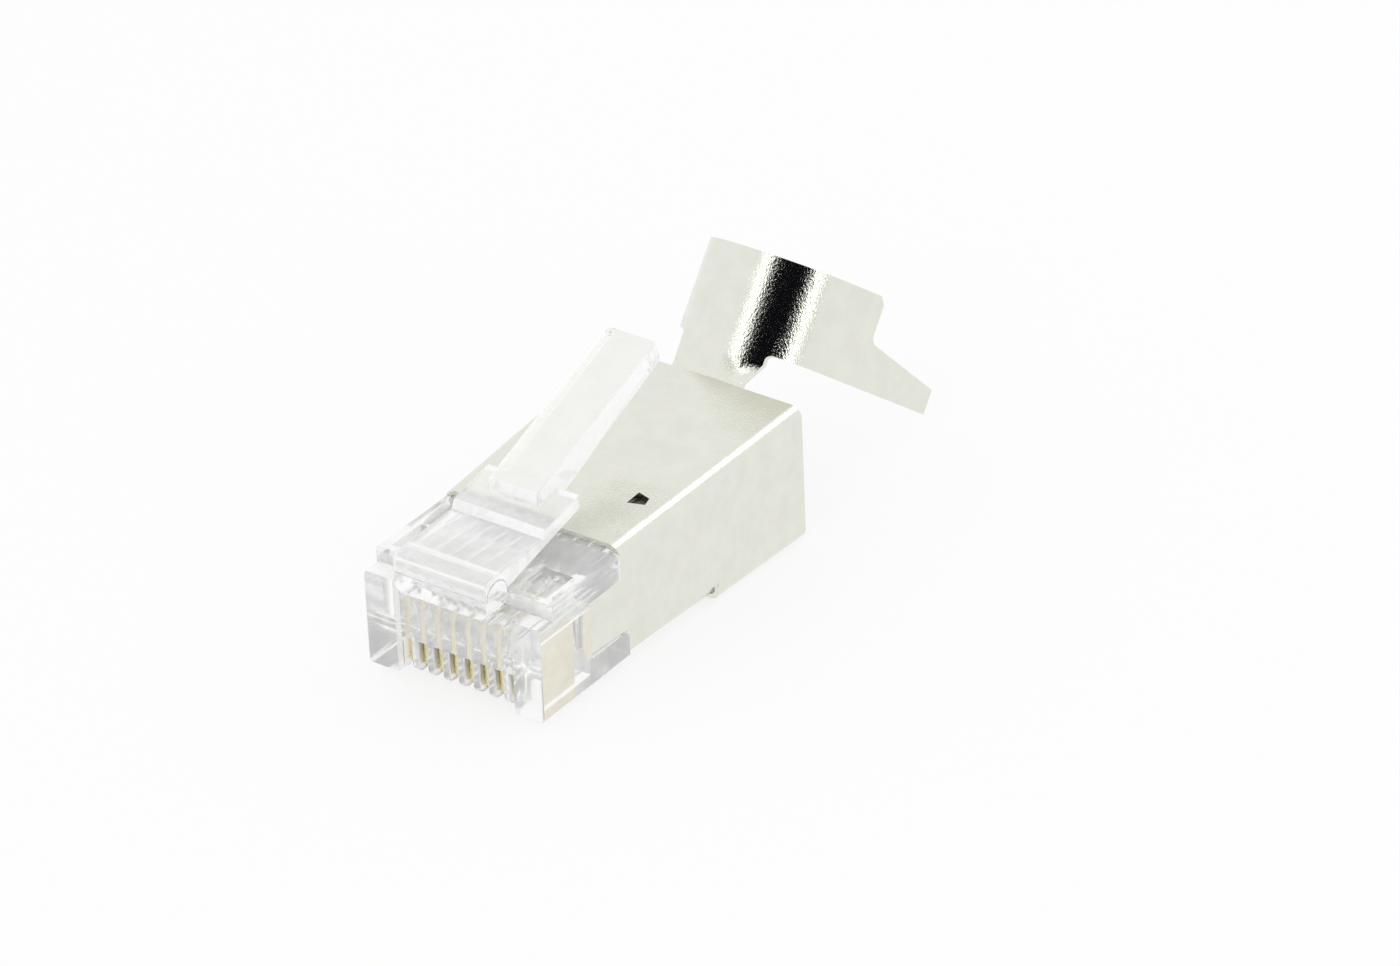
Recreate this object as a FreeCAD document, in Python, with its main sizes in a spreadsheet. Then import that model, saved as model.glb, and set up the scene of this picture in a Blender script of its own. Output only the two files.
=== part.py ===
import FreeCAD, Part
import Sketcher
import math
import os
import re

os.makedirs("parts", exist_ok=True)

# Shielded eight way modular plug for a thick cable.
# Origin: centre plane, front plane and underside of the clear nose.
# +X across the plug, +Y from the nose to the cable, +Z to the latch side.

Vector = FreeCAD.Vector

SIZES = {
    # clear moulding
    "nose_width": 11.68,
    "nose_height": 6.72,
    "nose_length": 7.75,
    "lower_front_height": 5.75,
    "upper_front_setback": 1.15,
    "rib_front_setback": 0.45,
    "side_block_width": 1.95,
    "moulding_edge_radius": 0.25,
    "body_length": 21.4,
    "top_pocket_width": 1.9,
    "top_pocket_length": 2.5,
    "top_pocket_depth": 0.6,
    "top_pocket_front": 1.6,
    "top_pocket_inset": 0.75,
    # contacts and the slots that hold them
    "contact_pitch": 1.016,
    "contact_thickness": 0.35,
    "contact_front": 0.8,
    "contact_length": 3.1,
    "contact_recess": 0.15,
    "contact_height": 3.85,
    "contact_corner_radius": 0.45,
    "tine_height": 0.75,
    "tine_width": 0.66,
    "tine_inset": 0.5,
    "contact_clearance": 0.01,
    "slot_width": 0.5,
    "slot_height": 2.0,
    "slot_end": 5.2,
    "rib_corner_radius": 0.4,
    "rib_edge_radius": 0.12,
    "channel_diameter": 0.9,
    "channel_rise": 0.4,
    "channel_front": 0.75,
    # cable cavity
    "funnel_front": 8.5,
    "funnel_rear": 12.5,
    "funnel_front_width": 8.3,
    "funnel_front_height": 1.3,
    "cavity_width": 9.2,
    "cavity_height": 4.7,
    "cavity_floor": 1.2,
    # latch root and hinge, measured down and up from the top of the nose
    "latch_width": 6.1,
    "root_front": 0.9,
    "root_underside": 0.87,
    "root_corner_radius": 0.6,
    "hinge_forward": 0.1,
    "hinge_height": 0.28,
    "knuckle_radius": 0.85,
    "hinge_clearance": 0.06,
    # latch plate and lever, with heights measured up from the hinge
    "plate_front_height": 1.2,
    "step_front": 4.3,
    "step_front_height": 1.28,
    "step_rear": 4.55,
    "step_rear_height": 1.78,
    "shoulder_rear": 7.65,
    "shoulder_height": 2.35,
    "shoulder_underside": 1.55,
    "plate_heel": 1.25,
    "plate_edge_radius": 0.2,
    "lever_width": 3.2,
    "lever_front": 5.8,
    "lever_front_height": 2.9,
    "lever_end": 17.0,
    "lever_end_height": 6.69,
    "lever_end_thickness": 1.25,
    "lever_corner_radius": 0.3,
    # folded shell
    "sheet": 0.28,
    "shell_fit": 0.03,
    "shell_front": 4.4,
    "shell_rear": 23.4,
    "shell_front_width": 11.34,
    "shell_rear_width": 12.8,
    "shell_rear_height": 7.83,
    "shell_bend_radius": 0.65,
    "top_front_edge": 7.26,
    "wing_top": 5.15,
    "wing_bottom": 1.75,
    "floor_front_edge": 7.8,
    "notch_radius": 0.6,
    "seam_width": 0.12,
    "window_inset": 2.07,
    "window_front": 11.0,
    "window_length": 1.15,
    "window_outer_length": 0.62,
    "window_width": 1.0,
    "window_skew": 0.3,
    "rear_drop": 0.55,
    "slit_place": 15.3,
    "slit_width": 0.35,
    "slit_height": 0.6,
    "slit_corner_radius": 0.14,
    # clamp strap at the tail
    "fold_angle": 52.0,
    "fold_radius": 0.35,
    "fold_width": 4.7,
    "neck_width": 5.5,
    "neck_length": 1.95,
    "neck_blend": 1.3,
    "neck_fillet": 0.35,
    "strap_radius": 4.5,
    "strap_bulge": 0.3,
    "strap_length": 5.25,
    "strap_flare": 6.0,
    "short_arm": 2.2,
    "plate_end": 7.4,
    "plate_corner": 0.45,
    "tongue_end": 14.3,
    "tongue_base": 2.65,
    "tongue_tip": 1.45,
    "tongue_fillet": 0.6,
}

PITCHES = 7

# How far a cut runs on past the material, and how close two places count as one.
PAST = 1.0
NEAR = 0.02
STRAIGHT = 0.0001

# How far apart two directions may be, in degrees, and still count as one.
SAME_ANGLE = 8.0

doc = FreeCAD.newDocument("plug")


def make_sheet():
    """Put each driving size into its own named cell."""
    sheet = doc.addObject("Spreadsheet::Sheet", "Sizes")
    for row, (name, value) in enumerate(SIZES.items(), start=1):
        sheet.set("A%d" % row, name)
        sheet.set("B%d" % row, str(value))
        sheet.setAlias("B%d" % row, name)
    doc.recompute()
    return sheet


sheet = make_sheet()


def size(name):
    """The number in a named cell."""
    return float(sheet.get(name))


def ref(expression):
    """Point each size name in an expression at its cell."""
    return re.sub(r"[a-z_]+", cell_name, expression)


def cell_name(match):
    word = match.group(0)
    return "Sizes." + word if word in SIZES else word


def new_body(name):
    body = doc.addObject("PartDesign::Body", name)
    body.Label = name
    return body


def new_sketch(body, plane, name, offset=None):
    """A sketch on one of the body's own planes, moved along its normal."""
    support = next(item for item in body.Origin.OriginFeatures if item.Role == plane)
    sketch = body.newObject("Sketcher::SketchObject", name)
    sketch.AttachmentSupport = [(support, "")]
    sketch.MapMode = "FlatFace"
    if offset is not None:
        sketch.setExpression("AttachmentOffset.Base.z", ref(offset))
    return sketch


def bind(sketch, kind, targets, seed, expression):
    """Add one dimension to a sketch and tie it to the sheet."""
    index = sketch.addConstraint(Sketcher.Constraint(kind, *targets, seed))
    sketch.setExpression("Constraints[%d]" % index, ref(expression))


def pin(sketch, edge, vertex, seed, place):
    """Hold a point of a sketch at a place measured from its origin."""
    bind(sketch, "DistanceX", (-1, 1, edge, vertex), seed.x, place[0])
    bind(sketch, "DistanceY", (-1, 1, edge, vertex), seed.y, place[1])


def add_polygon(sketch, places):
    """A closed outline with every corner tied to the sheet."""
    first = sketch.GeometryCount
    count = len(places)
    turns = [2 * math.pi * i / count for i in range(count)]
    seeds = [Vector(3 * math.cos(turn) + 0.2, 3 * math.sin(turn) + 0.3, 0) for turn in turns]
    for i in range(count):
        sketch.addGeometry(Part.LineSegment(seeds[i], seeds[(i + 1) % count]), False)
    for i in range(count):
        link = Sketcher.Constraint("Coincident", first + i, 2, first + (i + 1) % count, 1)
        sketch.addConstraint(link)
    for i in range(count):
        pin(sketch, first + i, 1, seeds[i], places[i])


def add_rectangle(sketch, left, right, low, high):
    add_polygon(sketch, [(left, low), (right, low), (right, high), (left, high)])


def add_circle(sketch, centre, diameter):
    edge = sketch.GeometryCount
    sketch.addGeometry(Part.Circle(Vector(0.2, 0.3, 0), Vector(0, 0, 1), 1.0), False)
    bind(sketch, "Diameter", (edge,), 2.0, diameter)
    pin(sketch, edge, 3, Vector(0.2, 0.3, 0), centre)


def pad(body, sketch, name, length, middle=False):
    feature = body.newObject("PartDesign::Pad", name)
    feature.Profile = sketch
    feature.setExpression("Length", ref(length))
    feature.Midplane = middle
    doc.recompute()
    return feature


def pocket(body, sketch, name, length=None, middle=False, reverse=False):
    """Cut a sketch out of the body, and make sure that it removed something."""
    before = body.Shape.Volume
    feature = body.newObject("PartDesign::Pocket", name)
    feature.Profile = sketch
    if length is None:
        feature.Type = "ThroughAll"
    else:
        feature.setExpression("Length", ref(length))
    feature.Midplane = middle
    feature.Reversed = reverse
    doc.recompute()
    if body.Shape.Volume >= before:
        raise RuntimeError(name + " removed nothing")
    return feature


def wedge(body, kind, name, run, front, rear):
    """A block along Y that tapers evenly from its front outline to its rear outline."""
    feature = body.newObject("PartDesign::%sWedge" % kind, name)
    places = {
        "Ymin": run[0], "Ymax": run[1],
        "Xmin": front[0], "Xmax": front[1], "Zmin": front[2], "Zmax": front[3],
        "X2min": rear[0], "X2max": rear[1], "Z2min": rear[2], "Z2max": rear[3],
    }
    for place, expression in places.items():
        feature.setExpression(place, ref(expression))
    doc.recompute()
    return feature


def repeat_across(body, feature, sketch, name):
    """Repeat one slot or channel for every contact."""
    pattern = body.newObject("PartDesign::LinearPattern", name)
    pattern.Originals = [feature]
    pattern.Direction = (sketch, ["H_Axis"])
    pattern.setExpression("Length", ref("%d * contact_pitch" % PITCHES))
    pattern.Occurrences = PITCHES + 1
    body.Tip = pattern
    doc.recompute()
    return pattern


def mirror_across(body, feature, name):
    """Repeat a feature on the other side of the centre plane."""
    pattern = body.newObject("PartDesign::Mirrored", name)
    pattern.Originals = [feature]
    plane = next(item for item in body.Origin.OriginFeatures if item.Role == "YZ_Plane")
    pattern.MirrorPlane = (plane, [""])
    body.Tip = pattern
    doc.recompute()
    return pattern


def straight_edges(shape, direction, test):
    """Names of the straight edges along a direction whose middle passes a test."""
    names = []
    for number, edge in enumerate(shape.Edges, start=1):
        ends = [vertex.Point for vertex in edge.Vertexes]
        if len(ends) < 2 or edge.Length > ends[0].distanceToPoint(ends[1]) + STRAIGHT:
            continue
        turn = math.degrees(direction.getAngle(ends[1] - ends[0]))
        if min(turn, 180 - turn) < SAME_ANGLE and test((ends[0] + ends[1]) * 0.5):
            names.append("Edge%d" % number)
    return names


def fillet(body, base, name, edges, radius):
    if not edges:
        raise RuntimeError(name + " found no edge")
    feature = body.newObject("PartDesign::Fillet", name)
    feature.Base = (base, edges)
    feature.setExpression("Radius", ref(radius))
    doc.recompute()
    if "Invalid" in feature.State:
        raise RuntimeError(name + " could not round its edges")
    return feature


def fuse(body, other, name):
    """Join another body to this one."""
    feature = body.newObject("PartDesign::Boolean", name)
    feature.setObjects([other])
    feature.Type = "Fuse"
    doc.recompute()
    return feature


def near(value, target):
    return abs(value - target) < NEAR


ALONG_X = Vector(1, 0, 0)
ALONG_Y = Vector(0, 1, 0)

# The shell widens in a straight line from its front edge to its rear edge,
# and the shank of the moulding inside it follows at the sheet and a small fit.
SHELL_FRONT_HEIGHT = "(nose_height + shell_fit + sheet)"
BODY_SHARE = "((body_length - shell_front) / (shell_rear - shell_front))"
WIDTH_AT_BODY_END = (
    "(shell_front_width + (shell_rear_width - shell_front_width) * " + BODY_SHARE + ")"
)
HEIGHT_AT_BODY_END = (
    "(" + SHELL_FRONT_HEIGHT + " + (shell_rear_height - " + SHELL_FRONT_HEIGHT + ") * "
    + BODY_SHARE + ")"
)


# The wires lie in a row of channels just above the blades.
WIRE_LEVEL = "(contact_recess + contact_height + channel_rise)"

# Level of the axis that the latch turns on.
HINGE_LEVEL = "(nose_height + hinge_height)"


def make_nose():
    """Nose block, notched on both sides for the forward wings of the shell."""
    body = new_body("nose_block")
    side = new_sketch(body, "YZ_Plane", "nose_side")
    add_polygon(side, [
        ("0", "0"),
        ("nose_length", "0"),
        ("nose_length", "wing_bottom - shell_fit"),
        ("shell_front - shell_fit", "wing_bottom - shell_fit"),
        ("shell_front - shell_fit", "wing_top + shell_fit"),
        ("top_front_edge - shell_fit", "wing_top + shell_fit"),
        ("top_front_edge - shell_fit", "nose_height"),
        ("upper_front_setback", "nose_height"),
        ("upper_front_setback", "lower_front_height"),
        ("0", "lower_front_height"),
    ])
    nose = pad(body, side, "nose", "nose_width", middle=True)
    half = size("nose_width") / 2
    levels = (0, size("nose_height"), size("lower_front_height"))
    outer = straight_edges(
        nose.Shape, ALONG_Y,
        lambda p: near(abs(p.x), half) and any(near(p.z, level) for level in levels))
    fillet(body, nose, "nose_edges", outer, "moulding_edge_radius")

    # the middle of the front face stands back between the side blocks
    inner = "(nose_width / 2 - side_block_width)"
    middle = new_sketch(body, "XZ_Plane", "front_recess_outline")
    add_rectangle(middle, "-" + inner, inner, "-%g" % PAST, "lower_front_height + %g" % PAST)
    pocket(body, middle, "front_recess", "rib_front_setback")
    return body


def make_plug_body():
    """Clear nose, shank, contact slots, wire channels, cable cavity and latch root."""
    body = new_body("plug_body")

    # shank inside the shell
    front_half = "(shell_front_width / 2 - sheet - shell_fit)"
    rear_half = "(" + WIDTH_AT_BODY_END + " / 2 - sheet - shell_fit)"
    shank = wedge(
        body, "Additive", "shank", ("shell_front", "body_length"),
        ("-" + front_half, front_half, "sheet + shell_fit", "nose_height"),
        ("-" + rear_half, rear_half, "sheet + shell_fit",
         HEIGHT_AT_BODY_END + " - sheet - shell_fit"))
    corners = straight_edges(shank.Shape, ALONG_Y, lambda p: True)
    fillet(body, shank, "shank_corners", corners, "shell_bend_radius - sheet")
    fuse(body, make_nose(), "nose")

    # slots that open downward and forward, one for each contact
    first = "(-%d * contact_pitch / 2)" % PITCHES
    slot = new_sketch(body, "XY_Plane", "slot_outline")
    add_rectangle(slot, first + " - slot_width / 2", first + " + slot_width / 2",
                  "rib_front_setback", "slot_end")
    slot_cut = pocket(body, slot, "slot", "slot_height", reverse=True)
    slots = repeat_across(body, slot_cut, slot, "slots")

    # each rib between two slots is rounded at its lower front corner and along its edges
    ribs = straight_edges(
        slots.Shape, ALONG_X,
        lambda p: near(p.y, size("rib_front_setback")) and near(p.z, 0))
    rounded = fillet(body, slots, "rib_corners", ribs, "rib_corner_radius")
    reach = PITCHES * size("contact_pitch") / 2
    edges = straight_edges(
        rounded.Shape, ALONG_Y,
        lambda p: abs(p.x) < reach and near(p.z, 0) and p.y < size("slot_end"))
    fillet(body, rounded, "rib_edges", edges, "rib_edge_radius")

    # narrow part of each slot that grips the blade
    grip = new_sketch(body, "XY_Plane", "grip_outline")
    grip_half = "(contact_thickness / 2 + contact_clearance)"
    add_rectangle(grip, first + " - " + grip_half, first + " + " + grip_half,
                  "contact_front - contact_clearance",
                  "contact_front + contact_length + contact_clearance")
    grip_cut = pocket(body, grip, "grip", "contact_recess + contact_height", reverse=True)
    repeat_across(body, grip_cut, grip, "grips")

    # round channels for the eight wires, running on into the funnel
    channel = new_sketch(body, "XZ_Plane", "channel_outline", "-channel_front")
    add_circle(channel, (first, WIRE_LEVEL), "channel_diameter")
    channel_cut = pocket(body, channel, "channel", "funnel_front - channel_front + %g" % PAST)
    repeat_across(body, channel_cut, channel, "channels")

    # funnel and cavity for the cable
    wedge(
        body, "Subtractive", "funnel", ("funnel_front", "funnel_rear"),
        ("-funnel_front_width / 2", "funnel_front_width / 2",
         WIRE_LEVEL + " - funnel_front_height / 2", WIRE_LEVEL + " + funnel_front_height / 2"),
        ("-cavity_width / 2", "cavity_width / 2",
         "cavity_floor", "cavity_floor + cavity_height"))
    cavity = new_sketch(body, "XZ_Plane", "cavity_outline", "-funnel_rear")
    add_rectangle(cavity, "-cavity_width / 2", "cavity_width / 2",
                  "cavity_floor", "cavity_floor + cavity_height")
    pocket(body, cavity, "cavity", "body_length - funnel_rear + %g" % PAST)

    # shallow pocket in the top of the nose on each side of the latch
    hollow = new_sketch(body, "XY_Plane", "top_pocket_outline", "nose_height")
    outer_side = "(nose_width / 2 - top_pocket_inset)"
    add_rectangle(hollow, outer_side + " - top_pocket_width", outer_side,
                  "top_pocket_front", "top_pocket_front + top_pocket_length")
    hollow_cut = pocket(body, hollow, "top_pocket", "top_pocket_depth")
    mirror_across(body, hollow_cut, "top_pockets")

    # root of the latch, with the round knuckle that the latch turns on
    root_side = new_sketch(body, "YZ_Plane", "root_side")
    add_polygon(root_side, [
        ("-root_front", "nose_height - root_underside"),
        ("upper_front_setback + root_front", "nose_height - root_underside"),
        ("upper_front_setback + root_front", "nose_height"),
        ("hinge_forward + knuckle_radius", "nose_height"),
        ("hinge_forward + knuckle_radius", HINGE_LEVEL),
        ("-root_front", HINGE_LEVEL),
    ])
    root = pad(body, root_side, "root", "latch_width", middle=True)
    half_latch = size("latch_width") / 2
    underside = size("nose_height") - size("root_underside")
    lower = straight_edges(
        root.Shape, ALONG_Y,
        lambda p: near(abs(p.x), half_latch) and near(p.z, underside))
    fillet(body, root, "root_corners", lower, "root_corner_radius")
    knuckle_side = new_sketch(body, "YZ_Plane", "knuckle_side")
    add_circle(knuckle_side, ("hinge_forward", HINGE_LEVEL), "2 * knuckle_radius")
    pad(body, knuckle_side, "knuckle", "latch_width", middle=True)
    return body


def make_latch():
    """Sprung latch: broad plate with a locking shoulder, and the finger lever."""
    body = new_body("latch")
    side = new_sketch(body, "YZ_Plane", "plate_side")
    underside = HINGE_LEVEL + " + hinge_clearance"
    add_polygon(side, [
        ("-root_front", underside),
        ("plate_heel", underside),
        ("shoulder_rear", HINGE_LEVEL + " + shoulder_underside"),
        ("shoulder_rear", HINGE_LEVEL + " + shoulder_height"),
        ("step_rear", HINGE_LEVEL + " + step_rear_height"),
        ("step_front", HINGE_LEVEL + " + step_front_height"),
        ("-root_front", HINGE_LEVEL + " + plate_front_height"),
    ])
    plate = pad(body, side, "plate", "latch_width", middle=True)
    plate_top = size("nose_height") + size("hinge_height") + size("plate_front_height")
    front_top = straight_edges(
        plate.Shape, ALONG_X,
        lambda p: near(p.y, -size("root_front")) and near(p.z, plate_top))
    fillet(body, plate, "plate_front", front_top, "plate_edge_radius")

    socket = new_sketch(body, "YZ_Plane", "socket_side")
    add_circle(socket, ("hinge_forward", HINGE_LEVEL),
               "2 * (knuckle_radius + hinge_clearance)")
    pocket(body, socket, "socket", middle=True)

    # the lever grows out of the plate and thins toward its end
    rise = math.atan2(
        size("lever_end_height") - size("lever_front_height"),
        size("lever_end") - size("lever_front"))
    lever_side = new_sketch(body, "YZ_Plane", "lever_side")
    slope = ("atan((lever_end_height - lever_front_height)"
             " / (lever_end - lever_front))")
    add_polygon(lever_side, [
        ("lever_front", HINGE_LEVEL + " + shoulder_underside"),
        ("shoulder_rear", HINGE_LEVEL + " + shoulder_underside"),
        ("lever_end + lever_end_thickness * sin(" + slope + ")",
         HINGE_LEVEL + " + lever_end_height - lever_end_thickness * cos(" + slope + ")"),
        ("lever_end", HINGE_LEVEL + " + lever_end_height"),
        ("lever_front", HINGE_LEVEL + " + lever_front_height"),
    ])
    lever = pad(body, lever_side, "lever", "lever_width", middle=True)
    ends = straight_edges(
        lever.Shape, Vector(0, math.sin(rise), -math.cos(rise)),
        lambda p: p.y > size("lever_end"))
    fillet(body, lever, "lever_corners", ends, "lever_corner_radius")
    return body


def make_contact(index):
    """Flat blade: round lower front corner, two piercing tines on top."""
    body = new_body("contact_%d" % (index + 1))
    side = new_sketch(body, "YZ_Plane", body.Label + "_side")
    top = "contact_recess + contact_height"
    rear = "contact_front + contact_length"
    add_polygon(side, [
        ("contact_front", "contact_recess"),
        (rear, "contact_recess"),
        (rear, top),
        (rear + " - tine_inset", top + " + tine_height"),
        (rear + " - tine_inset - tine_width", top),
        ("contact_front + tine_inset + tine_width", top),
        ("contact_front + tine_inset", top + " + tine_height"),
        ("contact_front", top),
    ])
    blade = pad(body, side, body.Label + "_blade", "contact_thickness", middle=True)
    corner = straight_edges(
        blade.Shape, ALONG_X,
        lambda p: near(p.y, size("contact_front")) and near(p.z, size("contact_recess")))
    fillet(body, blade, body.Label + "_corner", corner, "contact_corner_radius")
    body.setExpression("Placement.Base.x", ref("%g * contact_pitch" % (index - PITCHES / 2)))
    return body


# Clamp frame: its origin lies on the outer face where the fold ends,
# "drop" runs from the back of the strap toward the cable, "rise" along its axis.
FOLD_Y = "(shell_rear + fold_radius * sin(fold_angle * 1 deg))"
FOLD_Z = "(shell_rear_height + fold_radius * (1 - cos(fold_angle * 1 deg)))"


def clamp_sketch(body, name, rise):
    """A sketch square to the strap's axis, at a height along that axis."""
    sketch = new_sketch(body, "XY_Plane", name)
    sketch.setExpression("AttachmentOffset.Rotation.Axis.x", "1")
    sketch.setExpression("AttachmentOffset.Rotation.Axis.z", "0")
    sketch.setExpression("AttachmentOffset.Rotation.Angle", ref("fold_angle - 90"))
    sketch.setExpression(
        "AttachmentOffset.Base.y", ref(FOLD_Y + " + (" + rise + ") * cos(fold_angle * 1 deg)"))
    sketch.setExpression(
        "AttachmentOffset.Base.z", ref(FOLD_Z + " + (" + rise + ") * sin(fold_angle * 1 deg)"))
    return sketch


def add_arc(sketch, radius, radius_text, centre_drop, centre_text, span):
    """An arc round the strap's axis, from its left end to its right end."""
    edge = sketch.GeometryCount
    circle = Part.Circle(Vector(0, centre_drop, 0), Vector(0, 0, 1), radius)
    start = 1.5 * math.pi - span
    sketch.addGeometry(Part.ArcOfCircle(circle, start, start + 2 * span), False)
    pin(sketch, edge, 3, Vector(0, centre_drop, 0), ("0", centre_text))
    bind(sketch, "Radius", (edge,), radius, radius_text)
    return edge


def add_neck_section(sketch):
    """Section of the neck: the strap's curve, cut to the neck's width."""
    radius = size("strap_radius")
    inner = radius - size("sheet")
    half = size("neck_width") / 2
    centre = radius - size("strap_bulge")
    centre_text = "strap_radius - strap_bulge"
    outer_arc = add_arc(sketch, radius, "strap_radius", centre, centre_text,
                        math.asin(half / radius))
    inner_arc = add_arc(sketch, inner, "strap_radius - sheet", centre, centre_text,
                        math.asin(half / inner))
    for arc in (outer_arc, inner_arc):
        bind(sketch, "DistanceX", (-1, 1, arc, 1), -half, "-neck_width / 2")
        bind(sketch, "DistanceX", (-1, 1, arc, 2), half, "neck_width / 2")
    for side, vertex in ((-half, 1), (half, 2)):
        line = sketch.GeometryCount
        low = centre - math.sqrt(radius ** 2 - half ** 2)
        high = centre - math.sqrt(inner ** 2 - half ** 2)
        sketch.addGeometry(Part.LineSegment(Vector(side, low, 0), Vector(side, high, 0)), False)
        sketch.addConstraint(Sketcher.Constraint("Coincident", line, 1, outer_arc, vertex))
        sketch.addConstraint(Sketcher.Constraint("Coincident", line, 2, inner_arc, vertex))


def add_strap_section(sketch):
    """Section of the strap: a round back with an arm running on from each end."""
    flare = math.radians(size("strap_flare"))
    radius = size("strap_radius")
    inner = radius - size("sheet")
    centre = radius - size("strap_bulge")
    centre_text = "strap_radius - strap_bulge"
    reach = "(tongue_end - strap_radius + strap_bulge + strap_radius * sin(strap_flare * 1 deg))"
    long_arm = reach + " / cos(strap_flare * 1 deg)"
    outer_arc = add_arc(sketch, radius, "strap_radius", centre, centre_text,
                        math.pi / 2 - flare)
    inner_arc = add_arc(sketch, inner, "strap_radius - sheet", centre, centre_text,
                        math.pi / 2 - flare)
    for vertex, sign, arm in ((1, -1, "short_arm"), (2, 1, long_arm)):
        line = sketch.GeometryCount
        along = Vector(sign * math.sin(flare), math.cos(flare), 0)
        across = Vector(sign * math.cos(flare), -math.sin(flare), 0)
        middle = Vector(0, centre, 0)
        corners = [
            middle + across * radius, middle + across * radius + along,
            middle + across * inner + along, middle + across * inner,
        ]
        for start, end in zip(corners, corners[1:]):
            sketch.addGeometry(Part.LineSegment(start, end), False)
        joints = (
            ("Tangent", line, 1, outer_arc, vertex),
            ("Coincident", line, 2, line + 1, 1),
            ("Coincident", line + 1, 2, line + 2, 1),
            ("Tangent", line + 2, 2, inner_arc, vertex),
            ("Parallel", line, line + 2),
            ("Perpendicular", line, line + 1),
        )
        for joint in joints:
            sketch.addConstraint(Sketcher.Constraint(*joint))
        turn = math.pi / 2 - sign * flare
        index = sketch.addConstraint(Sketcher.Constraint("Angle", line, turn))
        sign_text = "-" if sign > 0 else "+"
        sketch.setExpression("Constraints[%d]" % index,
                             ref("90 deg " + sign_text + " strap_flare * 1 deg"))
        bind(sketch, "Distance", (line,), 1.0, arm)


def clamp_point(drop, rise):
    """A point of the clamp's frame in the plug's own frame, on the centre plane."""
    fold = math.radians(size("fold_angle"))
    start_y = size("shell_rear") + size("fold_radius") * math.sin(fold)
    start_z = size("shell_rear_height") + size("fold_radius") * (1 - math.cos(fold))
    return Vector(0, start_y + drop * math.sin(fold) + rise * math.cos(fold),
                  start_z - drop * math.cos(fold) + rise * math.sin(fold))


def beside(point, target):
    """True where a point lies at a target as seen from the side."""
    return near(point.y, target.y) and near(point.z, target.z)


def make_tube(body, name, run, front, rear):
    """One stage of the tube: a tapered block, rounded along its bends and hollowed."""
    block = wedge(body, "Additive", name + "_block", run, front, rear)
    bends = straight_edges(block.Shape, ALONG_Y, lambda p: True)
    rounded = fillet(body, block, name + "_bends", bends, "shell_bend_radius")
    shell = body.newObject("PartDesign::Thickness", name + "_shell")
    ends = ["Face%d" % number for number, face in enumerate(rounded.Shape.Faces, start=1)
            if near(face.BoundBox.YLength, 0)]
    shell.Base = (rounded, ends)
    shell.setExpression("Value", ref("sheet"))
    shell.Reversed = True
    shell.Join = 1
    doc.recompute()
    return shell


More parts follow.
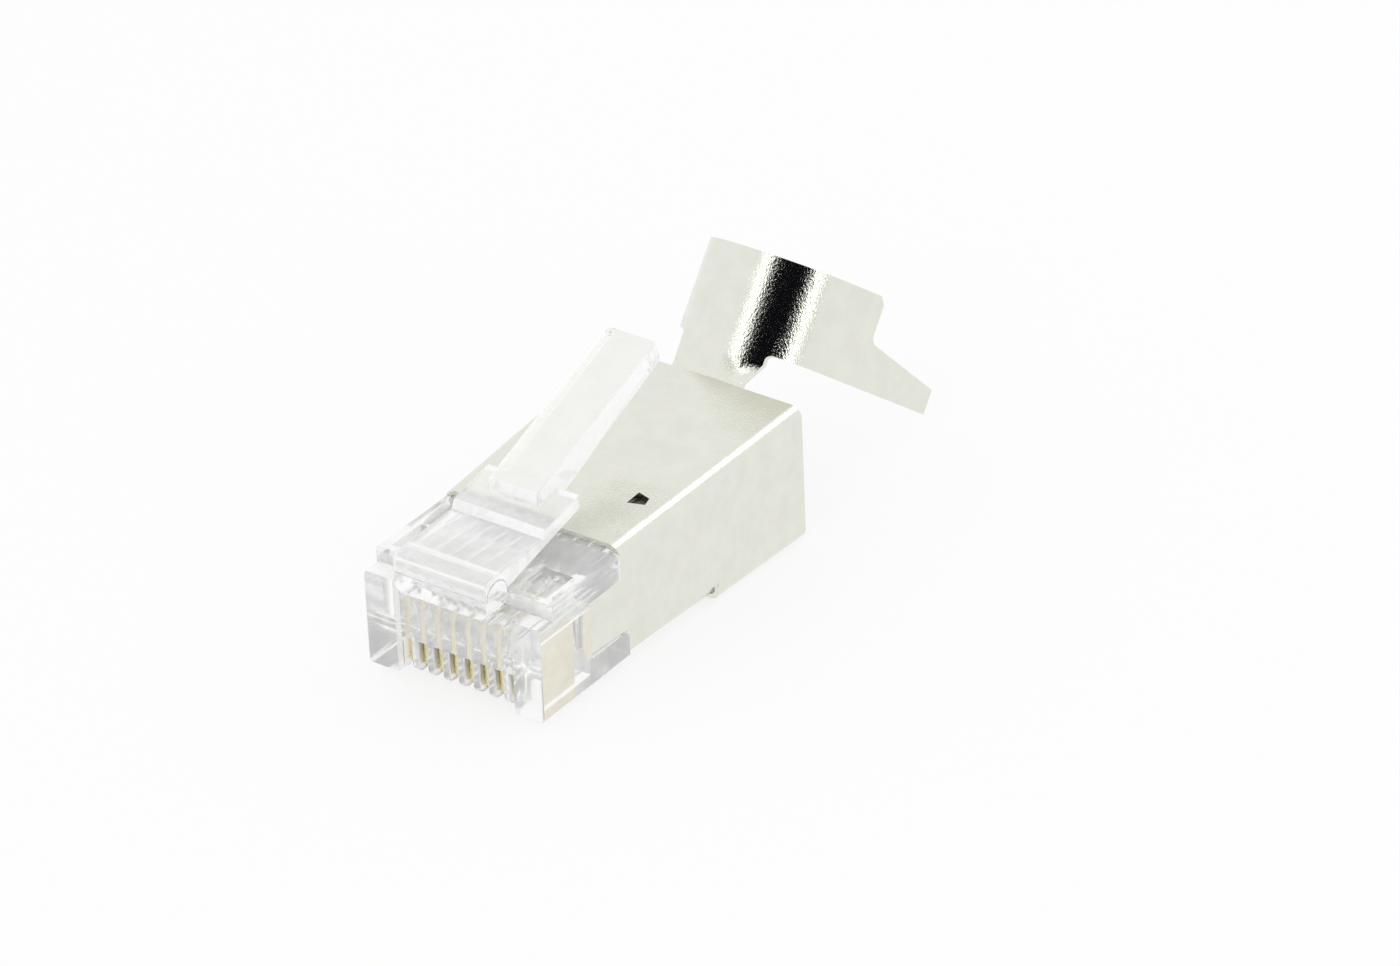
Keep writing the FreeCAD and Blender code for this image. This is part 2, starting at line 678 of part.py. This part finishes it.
def make_shield_shell():
    """One folded sheet: tapered tube, forward wings, neck, strap and tongue."""
    body = new_body("shield_shell")
    slit_share = "((slit_place - shell_front) / (shell_rear - shell_front))"
    slit_half = ("(shell_front_width + (shell_rear_width - shell_front_width) * "
                 + slit_share + ") / 2")
    slit_top = ("(" + SHELL_FRONT_HEIGHT + " + (shell_rear_height - " + SHELL_FRONT_HEIGHT
                + ") * " + slit_share + ")")
    stages = (
        ("front", ("shell_front", "slit_place"),
         ("-shell_front_width / 2", "shell_front_width / 2", "0", SHELL_FRONT_HEIGHT),
         ("-" + slit_half, slit_half, "0", slit_top)),
        ("rear", ("slit_place", "shell_rear"),
         ("-" + slit_half, slit_half, "-rear_drop", slit_top),
         ("-shell_rear_width / 2", "shell_rear_width / 2", "-rear_drop", "shell_rear_height")),
    )
    rear_tube = new_body("rear_tube")
    for owner, (name, run, front, rear) in zip((body, rear_tube), stages):
        make_tube(owner, name, run, front, rear)
    fuse(body, rear_tube, "tube")

    # the top wall starts behind the nose, the wings reach further forward
    before_shell = "shell_front - %g" % PAST
    step = new_sketch(body, "YZ_Plane", "top_step_side")
    add_rectangle(step, before_shell, "top_front_edge",
                  "wing_top", "shell_rear_height + %g" % PAST)
    pocket(body, step, "top_step", "2 * nose_width", middle=True)
    notch = new_sketch(body, "YZ_Plane", "lower_notch_side")
    add_rectangle(notch, before_shell, "floor_front_edge", "-%g" % PAST, "wing_bottom")
    lower = pocket(body, notch, "lower_notch", "2 * nose_width", middle=True)
    inside = straight_edges(
        lower.Shape, ALONG_X,
        lambda p: near(p.y, size("floor_front_edge")) and near(p.z, size("wing_bottom")))
    fillet(body, lower, "notch_corners", inside, "notch_radius")

    # slit that frees the deeper rear part of the tube from the front part
    slit = new_sketch(body, "YZ_Plane", "slit_side")
    add_rectangle(slit, "slit_place - slit_width", "slit_place + sheet",
                  "-rear_drop - %g" % PAST, "slit_height")
    slit_cut = pocket(body, slit, "slit", "2 * nose_width", middle=True)
    slit_front = size("slit_place") - size("slit_width")
    front_corners = straight_edges(
        slit_cut.Shape, ALONG_X,
        lambda p: near(p.z, size("slit_height")) and near(p.y, slit_front))
    fillet(body, slit_cut, "slit_corners", front_corners, "slit_corner_radius")

    # seam where the two lower flaps meet under the plug
    seam = new_sketch(body, "XY_Plane", "seam_outline", "-rear_drop - %g" % PAST)
    add_rectangle(seam, "-seam_width / 2", "seam_width / 2",
                  "shell_front", "shell_rear + %g" % PAST)
    pocket(body, seam, "seam", "rear_drop + 2 * sheet + %g" % PAST, reverse=True)

    # small slanting window on each side of the top wall
    window = new_sketch(body, "XY_Plane", "window_outline", "shell_rear_height + %g" % PAST)
    edge = "(shell_front_width / 2 - window_inset)"
    add_polygon(window, [
        (edge, "window_front"),
        (edge + " + window_width", "window_front + window_skew"),
        (edge + " + window_width - window_skew / 2",
         "window_front + window_skew + window_outer_length"),
        (edge, "window_front + window_length"),
    ])
    window_cut = pocket(body, window, "window", "shell_rear_height / 2")
    mirror_across(body, window_cut, "windows")

    # fold that turns the neck up from the rear edge of the top wall
    fold = new_sketch(body, "XZ_Plane", "fold_section", "-shell_rear")
    add_rectangle(fold, "-fold_width / 2", "fold_width / 2",
                  "shell_rear_height - sheet", "shell_rear_height")
    axis = fold.addGeometry(Part.LineSegment(Vector(-2, 9, 0), Vector(2, 9, 0)), True)
    pin(fold, axis, 1, Vector(-2, 9, 0), ("-fold_width / 2", "shell_rear_height + fold_radius"))
    pin(fold, axis, 2, Vector(2, 9, 0), ("fold_width / 2", "shell_rear_height + fold_radius"))
    bend = body.newObject("PartDesign::Revolution", "neck_fold")
    bend.Profile = fold
    bend.ReferenceAxis = (fold, ["Axis0"])
    bend.setExpression("Angle", ref("fold_angle"))
    doc.recompute()

    # the neck passes from the flat fold into the curve of the strap
    flat = clamp_sketch(body, "neck_flat", "0")
    add_rectangle(flat, "-fold_width / 2", "fold_width / 2", "0", "sheet")
    curved = clamp_sketch(body, "neck_curved", "neck_blend")
    add_neck_section(curved)
    blend = body.newObject("PartDesign::AdditiveLoft", "neck_blend")
    blend.Profile = flat
    blend.Sections = [curved]
    doc.recompute()
    upper = clamp_sketch(body, "neck_upper", "neck_blend")
    add_neck_section(upper)
    pad(body, upper, "neck", "neck_length - neck_blend + sheet")

    strap = clamp_sketch(body, "strap_section", "neck_length")
    add_strap_section(strap)
    wrapped = pad(body, strap, "strap", "strap_length")
    half_neck = size("neck_width") / 2
    lower_corners = straight_edges(
        wrapped.Shape, clamp_point(1, 0) - clamp_point(0, 0),
        lambda p: near(abs(p.x), half_neck) and near(
            (p - clamp_point(0, 0)).dot(clamp_point(0, 1) - clamp_point(0, 0)),
            size("neck_length")))
    fillet(body, wrapped, "neck_corners", lower_corners, "neck_fillet")

    # the long arm ends in a tapered tongue along its lower edge
    tongue = new_sketch(body, "YZ_Plane", "tongue_side")
    tongue.setExpression("AttachmentOffset.Base.x", ref(FOLD_Y))
    tongue.setExpression("AttachmentOffset.Base.y", ref(FOLD_Z))
    tongue.setExpression("AttachmentOffset.Rotation.Angle", ref("fold_angle - 90"))
    top = "neck_length + strap_length"
    beyond = "tongue_end + %g" % PAST
    above = top + " + %g" % PAST
    add_polygon(tongue, [
        ("plate_end - plate_corner", top),
        ("plate_end", top + " - plate_corner"),
        ("plate_end", "neck_length + tongue_base"),
        ("tongue_end", "neck_length + tongue_tip"),
        (beyond, "neck_length + tongue_tip"),
        (beyond, above),
        ("plate_end - plate_corner", above),
    ])
    trimmed = pocket(body, tongue, "tongue", "2 * nose_width", middle=True)
    corner = clamp_point(size("plate_end"), size("neck_length") + size("tongue_base"))
    inside = straight_edges(trimmed.Shape, ALONG_X, lambda p: beside(p, corner))
    fillet(body, trimmed, "tongue_corner", inside, "tongue_fillet")
    return body


bodies = [make_plug_body(), make_latch()]
bodies += [make_contact(index) for index in range(PITCHES + 1)]
bodies.append(make_shield_shell())
doc.recompute()

for item in doc.Objects:
    if "Invalid" in item.State or "Error" in item.State:
        raise RuntimeError(item.Name + " failed: " + str(item.State))
for body in bodies:
    if body.Shape.isNull() or not body.Shape.isValid():
        raise RuntimeError(body.Label + " has no valid shape")
    print(body.Label, len(body.Shape.Solids), round(body.Shape.Volume, 3), body.Shape.BoundBox)
    body.Shape.exportStep("parts/%s.step" % body.Label)
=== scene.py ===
import math

import bmesh
import bpy
from mathutils import Matrix, Vector


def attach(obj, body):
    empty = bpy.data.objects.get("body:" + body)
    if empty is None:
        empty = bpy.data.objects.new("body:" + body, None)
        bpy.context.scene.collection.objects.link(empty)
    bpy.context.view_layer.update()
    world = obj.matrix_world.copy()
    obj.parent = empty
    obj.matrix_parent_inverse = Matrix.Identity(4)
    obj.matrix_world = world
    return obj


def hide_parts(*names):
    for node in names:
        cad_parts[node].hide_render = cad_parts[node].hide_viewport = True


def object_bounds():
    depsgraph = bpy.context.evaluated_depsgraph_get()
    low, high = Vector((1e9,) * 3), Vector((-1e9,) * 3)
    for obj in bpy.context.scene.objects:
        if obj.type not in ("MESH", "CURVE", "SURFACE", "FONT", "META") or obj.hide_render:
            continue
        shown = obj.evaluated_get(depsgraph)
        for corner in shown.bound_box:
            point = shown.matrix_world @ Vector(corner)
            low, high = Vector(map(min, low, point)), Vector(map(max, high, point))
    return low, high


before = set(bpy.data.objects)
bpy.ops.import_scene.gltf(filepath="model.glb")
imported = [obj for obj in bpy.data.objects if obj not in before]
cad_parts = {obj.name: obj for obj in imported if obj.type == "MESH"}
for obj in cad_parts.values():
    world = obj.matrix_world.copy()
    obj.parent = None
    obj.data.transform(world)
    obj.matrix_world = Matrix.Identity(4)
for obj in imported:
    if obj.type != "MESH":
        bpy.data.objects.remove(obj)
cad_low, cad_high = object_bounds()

# Places and sizes are in millimetres in the part's own frame, and angles in degrees.
MM = 0.001
WHITE = (1.0, 1.0, 1.0, 1.0)

scene = bpy.context.scene
scene.view_settings.view_transform = "Standard"

# Light passes many faces of the clear moulding before it leaves again.
scene.cycles.max_bounces = 32
scene.cycles.glossy_bounces = 24
scene.cycles.transmission_bounces = 24

# Camera, fitted to the photograph.
IMAGE_WIDTH = 1400
FOCAL_PIXELS = 8000.0
SENSOR = 36.0
CAMERA_DISTANCE = 430.682
AZIMUTH = 36.788
ELEVATION = 31.186
ROLL = -2.521
TARGET = Vector((0.0, 8.0, 3.0))
SHIFT_RIGHT = 8.439
SHIFT_UP = 5.061
CLIP = (10.0, 20000.0)

# Noise values between these limits spread over the whole range of a tint or a roughness.
CLOUD_LIMITS = (0.35, 0.65)
FINE_LIMITS = (0.3, 0.7)

# Each metal has a tint that drifts, a roughness that varies and a fine grain. A noise is
# its size, detail and roughness, and the relief is the depth and strength of the grain.
METALS = {
    "plated_sheet": {
        "cloud": (1.3, 4.0, 0.6), "tints": ((0.755, 0.758, 0.68), (0.79, 0.793, 0.72)),
        "fine": (0.25, 3.0, 0.6), "roughness": (0.09, 0.15),
        "grain": (0.12, 2.0, 0.6), "relief": (0.016, 1.0)},
    "gilt": {
        "cloud": (0.5, 3.0, 0.6), "tints": ((0.86, 0.75, 0.40), (0.94, 0.86, 0.52)),
        "fine": (0.12, 3.0, 0.55), "roughness": (0.18, 0.34),
        "grain": (0.05, 3.0, 0.55), "relief": (0.002, 0.5)},
    # A lighter copy of the plating for the inside of the shell's tube: painted light.
    "plated_lightened_inside": {
        "cloud": (1.0, 4.0, 0.6), "tints": ((0.93, 0.93, 0.915), (0.97, 0.97, 0.96)),
        "fine": (0.3, 3.0, 0.55), "roughness": (0.16, 0.28),
        "grain": (0.14, 3.0, 0.55), "relief": (0.006, 0.6)},
}

# Clear plastic. The haze is the least and the most share of light that its outside scatters.
PLASTIC_IOR = 1.585
PLASTIC_TINTS = ((0.994, 1.0, 0.994), (1.0, 1.0, 1.0))
PLASTIC_CLOUD = (1.5, 3.0, 0.55)
PLASTIC_FINE = (0.4, 3.0, 0.55)
PLASTIC_ROUGHNESS = (0.03, 0.06)
PLASTIC_GRAIN = (0.9, 2.0, 0.55)
PLASTIC_RELIEF = (0.003, 0.15)
HAZE_CLOUD = (1.6, 3.0, 0.5)
HAZE = (0.42, 0.54)

# Painted shade in the moulding under each of the shell's two windows: a dark colour that lets no
# light through, standing in for the shade seen through each window.
# X is the distance from the middle plane.
WINDOW_SHADE_X = (3.4, 4.8)
WINDOW_SHADE_Y = (10.8, 12.35)
WINDOW_SHADE_ABOVE = 6.5
WINDOW_SHADE_COLOUR = (0.035, 0.028, 0.018)

# Cleaning and rounding of the pieces.
SAME_POINT = 0.0005
SAME_PLANE = 0.6
SHARP_EDGE = 35.0
BEVEL_SEGMENTS = 2

# Faces of the shell's tube that look at its axis take a lighter copy of the plating: painted light
# that lifts the dim inside of the tube.
TUBE_REAR = 26.0
TUBE_AXIS_Z = 3.5
FACES_IN = 0.5

# Light from all round, which with the three lamps comes to a plain level on top of the object.
AMBIENT = 0.9

# Share of white that the background shows to the camera, then to metal and clear plastic.
WORLD_SHARES = (1.0, 1.0)
FLOOR_SHARES = (0.8, 0.92)
FLOOR_WIDTH = 6000.0
FLOOR_GAP = 0.02
FLOOR_COLOUR = (0.95, 0.95, 0.95, 1.0)
FLOOR_ROUGHNESS = 0.9

# Lamps and cards face this point. Each has its name, azimuth, elevation, distance, width
# and height, then a lamp its radiance and a card its colour.
CENTRE = Vector((0.0, 15.0, 5.0))
LAMPS = (
    ("front_box", 5, 42, 400, 80, 220, 1.7),
    ("side_box", 85, 12, 400, 56, 260, 1.9),
    ("back_box", 165, 48, 400, 260, 100, 1.15),
)
CARDS = (
    ("dark_room", 46, 26, 420, 590, 430, (0.004, 0.004, 0.006)),
    ("front_edge", -4, 28, 425, 40, 420, (0.62, 0.62, 0.6)),
    ("side_edge", 92.5, 14, 425, 44, 320, (0.42, 0.42, 0.4)),
)


def towards(azimuth, elevation):
    a, e = math.radians(azimuth), math.radians(elevation)
    return Vector((math.sin(a) * math.cos(e), -math.cos(a) * math.cos(e), math.sin(e)))


def add_camera():
    turn, roll = math.radians(AZIMUTH), math.radians(ROLL)
    back = towards(AZIMUTH, ELEVATION)
    level = Vector((math.cos(turn), math.sin(turn), 0.0))
    upright = back.cross(level)
    right = math.cos(roll) * level + math.sin(roll) * upright
    up = -math.sin(roll) * level + math.cos(roll) * upright
    place = TARGET + back * CAMERA_DISTANCE + right * SHIFT_RIGHT + up * SHIFT_UP
    data = bpy.data.cameras.new("camera")
    data.sensor_width = SENSOR
    data.lens = FOCAL_PIXELS / IMAGE_WIDTH * SENSOR
    data.clip_start, data.clip_end = CLIP[0] * MM, CLIP[1] * MM
    camera = bpy.data.objects.new("camera", data)
    axes = Matrix((right, up, back)).transposed()
    camera.matrix_world = Matrix.Translation(place * MM) @ axes.to_4x4()
    scene.collection.objects.link(camera)
    scene.camera = camera


# Nodes that materials and the world share.
def math_node(tree, operation, *sources):
    made = tree.nodes.new("ShaderNodeMath")
    made.operation = operation
    for place, source in enumerate(sources):
        if isinstance(source, float):
            made.inputs[place].default_value = source
        else:
            tree.links.new(source, made.inputs[place])
    return made.outputs[0]


def mix_shaders(tree, factor, first, second, output):
    mixed = tree.nodes.new("ShaderNodeMixShader")
    for place, source in enumerate((factor, first.outputs[0], second.outputs[0])):
        tree.links.new(source, mixed.inputs[place])
    tree.links.new(mixed.outputs[0], output.inputs["Surface"])


def background_share(tree, camera_share, object_share):
    path = tree.nodes.new("ShaderNodeLightPath")
    seen = math_node(tree, "MAXIMUM", path.outputs["Is Glossy Ray"],
                     path.outputs["Is Transmission Ray"])
    to_object = math_node(tree, "MULTIPLY", seen, object_share)
    to_camera = math_node(tree, "MULTIPLY", path.outputs["Is Camera Ray"], camera_share)
    return math_node(tree, "MAXIMUM", to_object, to_camera)


class Material:
    def __init__(self, name):
        self.material = bpy.data.materials.new(name)
        self.material.use_nodes = True
        self.tree = self.material.node_tree
        self.shader = self.tree.nodes["Principled BSDF"]
        self.output = self.tree.nodes["Material Output"]
        self.place = self.node("ShaderNodeTexCoord").outputs["Object"]

    def node(self, kind):
        return self.tree.nodes.new(kind)

    def link(self, source, target):
        self.tree.links.new(source, target)

    def drive(self, source, name):
        self.link(source, self.shader.inputs[name])

    def noise(self, size, detail, rough):
        made = self.node("ShaderNodeTexNoise")
        made.inputs["Scale"].default_value = 1.0 / (size * MM)
        made.inputs["Detail"].default_value = detail
        made.inputs["Roughness"].default_value = rough
        self.link(self.place, made.inputs["Vector"])
        return made.outputs["Fac"]

    def ramp(self, source, limits, values):
        made = self.node("ShaderNodeMapRange")
        made.clamp = True
        for name, value in zip(("From Min", "From Max", "To Min", "To Max"), limits + values):
            made.inputs[name].default_value = value
        self.link(source, made.inputs["Value"])
        return made.outputs["Result"]

    def blend(self, factor, first, second):
        made = self.node("ShaderNodeMix")
        made.data_type = "RGBA"
        self.link(factor, made.inputs["Factor"])
        for socket, value in ((6, first), (7, second)):
            if isinstance(value, tuple):
                made.inputs[socket].default_value = (*value, 1.0)
            else:
                self.link(value, made.inputs[socket])
        return made.outputs[2]

    def tinted(self, cloud, tints):
        return self.blend(self.ramp(self.noise(*cloud), CLOUD_LIMITS, (0.0, 1.0)), *tints)

    def relief(self, grain, distance, strength):
        made = self.node("ShaderNodeBump")
        made.inputs["Strength"].default_value = strength
        made.inputs["Distance"].default_value = distance * MM
        self.link(self.noise(*grain), made.inputs["Height"])
        self.drive(made.outputs["Normal"], "Normal")

    def calculate(self, operation, *sources):
        return math_node(self.tree, operation, *sources)

    def glow(self, colour):
        made = self.node("ShaderNodeEmission")
        made.inputs["Color"].default_value = colour
        return made


def metal(name):
    values = METALS[name]
    m = Material(name)
    m.shader.inputs["Metallic"].default_value = 1.0
    m.drive(m.tinted(values["cloud"], values["tints"]), "Base Color")
    m.drive(m.ramp(m.noise(*values["fine"]), FINE_LIMITS, values["roughness"]), "Roughness")
    m.relief(values["grain"], *values["relief"])
    return m.material


# Mask of the painted shade under the shell's windows.
def painted_shade_under_windows(m):
    split = m.node("ShaderNodeSeparateXYZ")
    m.link(m.place, split.inputs[0])
    across = m.calculate("ABSOLUTE", split.outputs["X"])
    along, height = split.outputs["Y"], split.outputs["Z"]
    inside = m.calculate("GREATER_THAN", across, WINDOW_SHADE_X[0] * MM)
    for test in (m.calculate("LESS_THAN", across, WINDOW_SHADE_X[1] * MM),
                 m.calculate("GREATER_THAN", along, WINDOW_SHADE_Y[0] * MM),
                 m.calculate("LESS_THAN", along, WINDOW_SHADE_Y[1] * MM),
                 m.calculate("GREATER_THAN", height, WINDOW_SHADE_ABOVE * MM)):
        inside = m.calculate("MULTIPLY", inside, test)
    return inside


# Clear moulded plastic: a slight cloudy haze on its outside, and fully clear from within, save for
# the painted shade under the shell's windows.
def clear_plastic():
    m = Material("clear_plastic")
    m.shader.inputs["IOR"].default_value = PLASTIC_IOR
    # Painted shade: under the windows the plastic takes a dark colour and no transmission.
    window_shade = painted_shade_under_windows(m)
    m.drive(m.blend(window_shade, m.tinted(PLASTIC_CLOUD, PLASTIC_TINTS), WINDOW_SHADE_COLOUR), "Base Color")
    haze = m.ramp(m.noise(*HAZE_CLOUD), FINE_LIMITS, HAZE)
    behind = m.node("ShaderNodeNewGeometry").outputs["Backfacing"]
    outside = m.calculate("SUBTRACT", 1.0, behind)
    clear = m.calculate("SUBTRACT", 1.0, m.calculate("MULTIPLY", haze, outside))
    unshaded_share = m.calculate("SUBTRACT", 1.0, window_shade)
    m.drive(m.calculate("MULTIPLY", clear, unshaded_share), "Transmission Weight")
    m.drive(m.ramp(m.noise(*PLASTIC_FINE), CLOUD_LIMITS, PLASTIC_ROUGHNESS), "Roughness")
    m.relief(PLASTIC_GRAIN, *PLASTIC_RELIEF)
    shadow = m.node("ShaderNodeLightPath").outputs["Is Shadow Ray"]
    mix_shaders(m.tree, shadow, m.shader, m.node("ShaderNodeBsdfTransparent"), m.output)
    return m.material


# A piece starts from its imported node, cleaned into large faces, and has its edges rounded.
def dressed(node, name, width, material, body):
    bm = bmesh.new()
    bm.from_mesh(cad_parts[node].data)
    bmesh.ops.scale(bm, vec=(1 / MM,) * 3, verts=bm.verts)
    bmesh.ops.remove_doubles(bm, verts=bm.verts, dist=SAME_POINT)
    bmesh.ops.dissolve_limit(bm, angle_limit=math.radians(SAME_PLANE), verts=bm.verts,
                             edges=bm.edges, delimit={"SHARP"})
    mesh = bpy.data.meshes.new(name)
    bm.to_mesh(mesh)
    bm.free()
    piece = bpy.data.objects.new(name, mesh)
    scene.collection.objects.link(piece)
    bevel = piece.modifiers.new("bevel", "BEVEL")
    bevel.width = width
    bevel.segments = BEVEL_SEGMENTS
    bevel.limit_method = "ANGLE"
    bevel.angle_limit = math.radians(SHARP_EDGE)
    bevel.harden_normals = False
    bevel.miter_outer = "MITER_ARC"
    graph = bpy.context.evaluated_depsgraph_get()
    made = bpy.data.meshes.new_from_object(piece.evaluated_get(graph))
    piece.modifiers.clear()
    piece.data = made
    made.transform(Matrix.Scale(MM, 4))
    made.materials.clear()
    made.materials.append(material)
    made.shade_smooth()
    made.set_sharp_from_angle(angle=math.radians(SHARP_EDGE))
    weighted = piece.modifiers.new("normals", "WEIGHTED_NORMAL")
    weighted.keep_sharp = True
    weighted.mode = "FACE_AREA"
    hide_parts(node)
    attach(piece, body)
    return piece


# Painted light: the tube's inward faces take the lighter copy of the plating.
def lighten_inside(piece, material):
    piece.data.materials.append(material)
    for face in piece.data.polygons:
        x, y, z = face.center / MM
        inward = Vector((-x, 0.0, TUBE_AXIS_Z - z)).normalized()
        if y < TUBE_REAR and face.normal.dot(inward) > FACES_IN:
            face.material_index = 1


def add_world():
    world = bpy.data.worlds.new("studio")
    scene.world = world
    world.use_nodes = True
    tree = world.node_tree
    ground = tree.nodes["Background"]
    seen = tree.nodes.new("ShaderNodeBackground")
    for background, strength in ((ground, AMBIENT), (seen, 1.0)):
        background.inputs["Color"].default_value = WHITE
        background.inputs["Strength"].default_value = strength
    mix_shaders(tree, background_share(tree, *WORLD_SHARES), ground, seen,
                tree.nodes["World Output"])


def add_sheet(name, width, height):
    bm = bmesh.new()
    bmesh.ops.create_grid(bm, x_segments=1, y_segments=1, size=0.5)
    bmesh.ops.scale(bm, vec=(width * MM, height * MM, 1), verts=bm.verts)
    mesh = bpy.data.meshes.new(name)
    bm.to_mesh(mesh)
    bm.free()
    sheet = bpy.data.objects.new(name, mesh)
    scene.collection.objects.link(sheet)
    return sheet


def add_floor():
    floor = add_sheet("floor", FLOOR_WIDTH, FLOOR_WIDTH)
    floor.location = (0, 0, cad_low.z - FLOOR_GAP * MM)
    m = Material("floor")
    m.shader.inputs["Roughness"].default_value = FLOOR_ROUGHNESS
    m.shader.inputs["Specular IOR Level"].default_value = 0.0
    m.shader.inputs["Base Color"].default_value = FLOOR_COLOUR
    mix_shaders(m.tree, background_share(m.tree, *FLOOR_SHARES), m.shader, m.glow(WHITE), m.output)
    floor.data.materials.append(m.material)


def aim_at_centre(thing, azimuth, elevation, distance):
    aim = towards(azimuth, elevation)
    thing.location = (CENTRE + aim * distance) * MM
    thing.rotation_euler = aim.to_track_quat("Z", "Y").to_euler()


def add_lamp(name, azimuth, elevation, distance, width, height, radiance):
    data = bpy.data.lights.new(name, "AREA")
    data.shape = "RECTANGLE"
    data.size = width * MM
    data.size_y = height * MM
    data.energy = radiance * math.pi * width * height * MM * MM
    lamp = bpy.data.objects.new(name, data)
    aim_at_centre(lamp, azimuth, elevation, distance)
    scene.collection.objects.link(lamp)


# Cards show only in reflections.
def add_card(name, azimuth, elevation, distance, width, height, colour):
    card = add_sheet(name, width, height)
    aim_at_centre(card, azimuth, elevation, distance)
    card.visible_camera = False
    card.visible_diffuse = False
    card.visible_shadow = False
    card.visible_transmission = False
    m = Material(name)
    m.tree.nodes.remove(m.shader)
    m.link(m.glow((*colour, 1.0)).outputs[0], m.output.inputs["Surface"])
    card.data.materials.append(m.material)


add_camera()
add_world()
add_floor()
for lamp_values in LAMPS:
    add_lamp(*lamp_values)
for card_values in CARDS:
    add_card(*card_values)

plastic = clear_plastic()
plated = metal("plated_sheet")
gold = metal("gilt")
dressed("plug_body", "clear_moulding", 0.05, plastic, "plug")
dressed("latch", "clear_latch", 0.07, plastic, "latch_arm")
shell = dressed("shield_shell", "folded_shell", 0.05, plated, "plug")
lighten_inside(shell, metal("plated_lightened_inside"))
for index in range(1, 9):
    contact = "contact_%d" % index
    dressed(contact, "gilt_" + contact, 0.03, gold, "plug")
